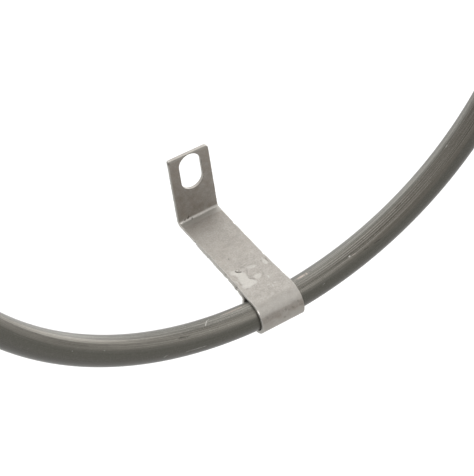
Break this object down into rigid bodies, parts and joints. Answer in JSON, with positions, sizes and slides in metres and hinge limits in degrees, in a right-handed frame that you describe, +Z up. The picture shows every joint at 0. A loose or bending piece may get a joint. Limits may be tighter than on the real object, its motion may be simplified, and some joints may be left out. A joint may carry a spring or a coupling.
{
  "type": "tubular heating element",
  "caption": "Ring of metal-sheathed heating tube with legs through a screwed flange, threaded terminals and a folded, slotted support bracket.",
  "frame": {"origin": "centre of the mounting flange's rear face, midway between the two legs", "axes": "+Y into the wall, along the legs and terminals; +Z up, from the foot of the ring to the flange; +X to the right"},
  "size_m": [0.1964, 0.0914, 0.2047],
  "materials": {
    "sheath_steel": "satin",
    "bracket_steel": "matte",
    "flange_steel": "satin",
    "braze": "satin",
    "pin_steel": "satin",
    "zinc_steel": "satin",
    "steatite": "satin",
    "seal_resin": "matte",
    "magnesia": "matte",
    "coil_wire": "satin"
  },
  "bodies": {
    "root": {"sheath": "sheath_steel", "resistance_coil": "coil_wire", "magnesia_filling": "magnesia", "mounting_flange": "flange_steel", "support_bracket": "bracket_steel", "terminal_pin_left": "pin_steel", "end_seal_left": "seal_resin", "ceramic_bead_left": "steatite", "braze_ring_left": "braze", "inner_nut_left": "zinc_steel", "plain_washer_left": "zinc_steel", "spring_washer_left": "zinc_steel", "outer_nut_left": "zinc_steel", "terminal_pin_right": "pin_steel", "end_seal_right": "seal_resin", "ceramic_bead_right": "steatite", "braze_ring_right": "braze", "inner_nut_right": "zinc_steel", "plain_washer_right": "zinc_steel", "spring_washer_right": "zinc_steel", "outer_nut_right": "zinc_steel"}
  },
  "joints": []
}
